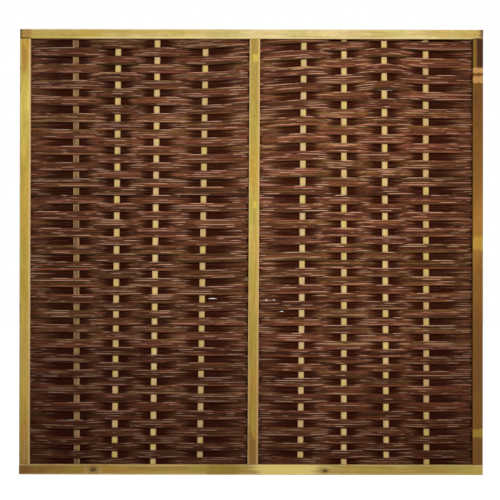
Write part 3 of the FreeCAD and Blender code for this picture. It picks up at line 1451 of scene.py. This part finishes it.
@dataclass
class Studio:
    """A white floor and soft light, mostly from above and in front.

    Attributes:
        floor_size: side of the floor.
        floor_grey: how much light the floor throws back, from 0 to 1.
        floor_lift: light that the floor adds for the camera, so that it shows white where it is lit.
        sky: strength of the even light from all round.
        key_place: where the key lamp hangs.
        key_aim: what it points at.
        key_size: its width and height.
        key_power: its power in watts.
    """

    floor_size: float = 24.0
    floor_grey: float = 0.82
    floor_lift: float = 0.8
    sky: float = 0.46
    key_place: tuple[float, float, float] = (2.4, -7.9, 2.0)
    key_aim: tuple[float, float, float] = (0.9, 0.0, 0.0)
    key_size: tuple[float, float] = (2.0, 1.4)
    key_power: float = 385.0

    def build(self) -> None:
        """Sets up the floor, the world and the lamp."""
        self.lay_floor()
        self.light_world()
        self.hang_key()
        log.info("studio: floor, world and key lamp")

    def lay_floor(self) -> None:
        """A flat white floor under the panel's foot."""
        half = self.floor_size / 2
        middle = (CAD_BOX[0].x + CAD_BOX[1].x) / 2
        around = ((-half, -half), (half, -half), (half, half), (-half, half))
        mesh = bpy.data.meshes.new("floor")
        mesh.from_pydata([(middle + x, y, CAD_BOX[0].z) for x, y in around], [], [(0, 1, 2, 3)])
        floor = new_object("floor", mesh)
        material, wiring = new_material("floor_white")
        matt = wiring.node("ShaderNodeBsdfDiffuse", {"Color": (self.floor_grey,) * 3})
        seen = wiring.node("ShaderNodeLightPath").outputs["Is Camera Ray"]
        lift = wiring.times(seen, self.floor_lift)
        glow = wiring.node("ShaderNodeEmission", {"Color": (1.0, 1.0, 1.0), "Strength": lift})
        both = wiring.node("ShaderNodeAddShader", {0: matt.outputs[0], 1: glow.outputs[0]})
        wiring.node("ShaderNodeOutputMaterial", {"Surface": both.outputs[0]})
        floor.data.materials.append(material)

    def light_world(self) -> None:
        """An even pale sky, which shows as plain white."""
        world = bpy.data.worlds.new("studio")
        world.use_nodes = True
        world.node_tree.nodes.clear()
        wiring = Wiring(world.node_tree)
        rays = wiring.node("ShaderNodeLightPath").outputs
        seen = wiring.math("MAXIMUM", rays["Is Camera Ray"], rays["Is Glossy Ray"])
        seen = wiring.math("MAXIMUM", seen, rays["Is Transmission Ray"])
        strength = wiring.remap(seen, 0.0, 1.0, self.sky, 1.0)
        sky = wiring.node("ShaderNodeBackground", {"Color": (1.0, 1.0, 1.0), "Strength": strength})
        wiring.node("ShaderNodeOutputWorld", {"Surface": sky.outputs[0]})
        bpy.context.scene.world = world

    def hang_key(self) -> None:
        """The soft lamp above and in front of the panel."""
        lamp = bpy.data.lights.new("key", "AREA")
        lamp.shape = "RECTANGLE"
        lamp.size, lamp.size_y = self.key_size
        lamp.energy = self.key_power
        key = new_object("key", lamp)
        key.location = self.key_place
        away = Vector(self.key_aim) - Vector(self.key_place)
        key.rotation_mode = "QUATERNION"
        key.rotation_quaternion = away.to_track_quat("-Z", "Y")


@dataclass
class PictureCamera:
    """The camera: square on to the panel, from far away and a little low.

    Attributes:
        lens: focal length in millimetres.
        distance: from the panel's front face.
        aim_right: how far right of the panel's middle it points.
        aim_up: how far above the panel's middle it points.
        drop: how far it stands below its aim.
        roll: how far it is turned, in degrees.
    """

    lens: float = 100.0
    distance: float = 5.39
    aim_right: float = -0.0048
    aim_up: float = 0.0076
    drop: float = 0.03
    roll: float = 0.1

    def build(self) -> None:
        """Sets up the camera as the scene's own."""
        low, high = CAD_BOX
        middle = (low + high) / 2
        aim = Vector((middle.x + self.aim_right, low.y, middle.z + self.aim_up))
        place = aim + Vector((0.0, -self.distance, -self.drop))
        lens = bpy.data.cameras.new("camera")
        lens.lens = self.lens
        camera = new_object("camera", lens)
        turn = (aim - place).to_track_quat("-Z", "Y").to_matrix().to_4x4()
        turn @= Matrix.Rotation(math.radians(self.roll), 4, "Z")
        camera.matrix_world = Matrix.Translation(place) @ turn
        bpy.context.scene.camera = camera
        log.info("camera: %.2f m away", self.distance)


GOLDEN = tone(194, 160, 62)
AMBER = tone(190, 145, 50)
OLIVE = tone(180, 158, 54)
STRAW = tone(206, 180, 90)
CREAM = tone(216, 194, 132)
RUSSET = tone(152, 106, 46)
UMBER = tone(124, 82, 37)
SHADOW = tone(58, 42, 20)
PALE = tone(226, 204, 140)
RUBBED = tone(206, 152, 92)

FRONT_FINISHES = {
    "top_rail": TimberFinish(
        "top_rail",
        (
            (0.0, tone(176, 154, 82)), (0.12, tone(182, 158, 86)), (0.35, tone(216, 193, 124)),
            (0.5, tone(228, 207, 146)), (0.85, tone(220, 198, 134)), (0.95, tone(190, 166, 86)),
            (1.0, tone(174, 140, 78)),
        ),
        seed=1.3,
        patches=(
            Patch(0.57, -0.0165, 0.8, 0.0035, 0.7, PALE),
            Patch(0.012, 0.0, 0.022, 0.03, 0.6, RUSSET),
            Patch(0.0, 0.0, 0.01, 0.03, 0.75, tone(84, 78, 36)),
            Patch(0.07, -0.0165, 0.1, 0.003, 0.6, OLIVE),
            Patch(0.0, -0.0175, 0.04, 0.003, 0.95, SHADOW),
            Patch(1.0, -0.0175, 0.04, 0.003, 0.9, SHADOW),
            Patch(1.0, 0.0, 0.016, 0.03, 0.5, RUSSET),
            Patch(1.0, 0.004, 0.01, 0.016, 0.8, tone(92, 70, 58)),
            Patch(0.15, 0.003, 0.05, 0.012, 0.4, AMBER),
            Patch(0.3, 0.006, 0.14, 0.006, 0.4, OLIVE),
            Patch(0.915, 0.0, 0.02, 0.03, 0.3, AMBER),
        ),
    ),
    "bottom_rail": TimberFinish(
        "bottom_rail",
        (
            (0.0, UMBER), (0.07, RUSSET), (0.14, tone(180, 136, 48)), (0.3, tone(208, 176, 90)),
            (0.43, tone(180, 150, 60)), (0.58, CREAM), (0.7, tone(204, 174, 84)),
            (0.85, tone(206, 174, 88)), (1.0, STRAW),
        ),
        seed=2.7,
        knots=(Knot(0.16, 0.0, 0.013), Knot(0.66, -0.004, 0.008)),
        patches=(
            Patch(0.16, 0.0, 0.03, 0.011, 0.3, PALE),
            Patch(0.6, -0.017, 0.9, 0.0035, 0.5, PALE),
            Patch(0.576, 0.0, 0.12, 0.02, 0.85, tone(252, 224, 130)),
            Patch(0.3, 0.004, 0.1, 0.008, 0.3, RUSSET),
            Patch(0.44, 0.0, 0.06, 0.03, 0.65, tone(160, 130, 44)),
        ),
    ),
    "left_stile": TimberFinish(
        "left_stile",
        (
            (0.0, RUSSET), (0.1, AMBER), (0.14, GOLDEN), (0.28, tone(202, 170, 78)),
            (0.43, tone(180, 149, 56)), (0.7, GOLDEN), (0.84, tone(222, 200, 96)), (0.93, GOLDEN),
            (1.0, AMBER),
        ),
        seed=4.1,
        patches=(
            # Painted highlight: a pale band along the right edge
            Patch(0.5, 0.017, 1.2, 0.0045, 0.5, tone(214, 176, 120)),
            Patch(0.5, -0.0185, 1.2, 0.0035, 0.5, tone(162, 150, 84)),
            Patch(0.95, -0.002, 0.05, 0.009, 0.55, RUSSET),
            Patch(0.87, -0.004, 0.05, 0.008, 0.4, OLIVE),
            Patch(0.05, 0.0, 0.07, 0.003, 0.5, tone(196, 158, 120)),
            Patch(0.93, -0.021, 0.006, 0.004, 0.7, SHADOW),
            Patch(0.88, -0.021, 0.012, 0.003, 0.6, SHADOW),
            Patch(0.695, -0.021, 0.005, 0.003, 0.6, SHADOW),
            Patch(0.37, -0.021, 0.012, 0.003, 0.6, SHADOW),
        ),
    ),
    "centre_stile": TimberFinish(
        "centre_stile",
        (
            (0.0, RUSSET), (0.075, RUSSET), (0.085, AMBER), (0.28, tone(188, 150, 64)),
            (0.42, tone(200, 166, 78)), (0.6, tone(200, 173, 84)), (0.7, GOLDEN),
            (0.85, tone(178, 150, 64)), (1.0, tone(164, 138, 58)),
        ),
        seed=5.9,
        knots=(Knot(0.818, 0.0, 0.003),),
        patches=(
            # Painted highlight: a pale band along the right edge
            Patch(0.5, 0.0165, 1.2, 0.0045, 0.5, tone(214, 172, 108)),
            Patch(0.955, 0.004, 0.014, 0.01, 0.6, tone(216, 190, 74)),
            Patch(0.61, 0.003, 0.014, 0.009, 0.55, tone(222, 196, 70)),
        ),
    ),
    "right_stile": TimberFinish(
        "right_stile",
        (
            (0.0, tone(120, 78, 35)), (0.28, tone(114, 74, 33)), (0.42, UMBER),
            (0.55, tone(164, 116, 50)), (0.7, tone(120, 78, 34)), (0.85, tone(102, 64, 28)),
            (1.0, tone(78, 47, 21)),
        ),
        seed=8.2,
        heart=tone(134, 88, 30),
        stain=tone(150, 108, 40),
        arris=tone(170, 128, 60),
        stained=0.2,
        worn_and_shaded=0.12,
        gloss=0.08,
        patches=(
            Patch(0.967, 0.009, 0.054, 0.012, 0.92, tone(62, 31, 12)),
            Patch(0.967, -0.013, 0.054, 0.006, 0.55, tone(140, 108, 44)),
            Patch(0.9265, 0.0, 0.0095, 0.03, 0.7, RUBBED),
            Patch(0.905, 0.0, 0.012, 0.03, 0.65, RUBBED),
            Patch(0.52, 0.0, 0.025, 0.03, 0.5, GOLDEN),
            Patch(0.074, 0.0, 0.016, 0.03, 0.55, GOLDEN),
        ),
    ),
}

# Tones of the stakes' feet and tops, from left to right
STAKE_TONES = (
    (STRAW, STRAW),
    # Stake 2 is much darker all along: painted shade
    (tone(98, 74, 54), tone(92, 66, 44)),
    (tone(202, 172, 122), tone(200, 174, 112)),
    (tone(222, 196, 142), tone(204, 176, 128)),
    (tone(194, 166, 118), tone(194, 168, 116)),
    (STRAW, STRAW),
    (tone(214, 184, 132), tone(208, 184, 136)),
    (tone(220, 190, 136), tone(212, 184, 122)),
    (tone(222, 192, 132), tone(214, 184, 124)),
    (tone(190, 160, 108), tone(192, 164, 110)),
    (STRAW, STRAW),
)

# The stake that is painted darker, as shade, and takes little stain
GREY_STAKE = 2

# Where daylight shows between two rods
SLITS = (
    Slit(0.749, -0.18, 0.03, 0.0027),
    Slit(0.960, -0.185, 0.012, 0.0024),
    Slit(0.988, -0.185, 0.010, 0.0024),
    Slit(1.020, -0.228, 0.012, 0.0022),
)


def back_finishes() -> dict[str, TimberFinish]:
    """Plainer finishes of the same timber, for the frame that faces away."""
    tones = (GOLDEN, AMBER, OLIVE, GOLDEN, STRAW)
    return {
        place: TimberFinish(f"back_{place}", ((0.0, tones[n]), (1.0, tones[n - 1])), seed=20.0 + n * 3.1)
        for n, place in enumerate(FRONT_FINISHES)
    }


def stake_finishes() -> tuple[TimberFinish, ...]:
    """The pale, hardly treated timber of each stake."""
    return tuple(
        TimberFinish(
            f"stake_{place:02d}",
            ((0.0, foot), (1.0, top)),
            heart=tone(198, 146, 120),
            stain=tone(210, 194, 72),
            # Darker edges: painted shade on the stakes' rounded sides
            arris=tone(182, 136, 74),
            seed=40.0 + place * 2.3,
            stained=0.15 if place == GREY_STAKE else 0.5,
            patchiness=26.0,
            # Painted shade at the foot, weaker than on the laths
            foot_shade=0.2,
        )
        for place, (foot, top) in enumerate(STAKE_TONES, start=1)
    )


def main() -> None:
    """Builds the panel piece by piece, then the studio and the camera."""
    logging.basicConfig(level=logging.INFO, format="%(message)s")
    bpy.context.scene.view_settings.view_transform = "Standard"
    LathFrame(Side.FRONT, FRONT_FINISHES).build()
    LathFrame(Side.BACK, back_finishes()).build()
    StakeRow(stake_finishes()).build()
    WillowMat(sections=11, finish=BarkFinish(), slits=SLITS).build()
    NailSet(NailFinish()).build()
    Studio().build()
    PictureCamera().build()


if __name__ == "__main__":
    main()
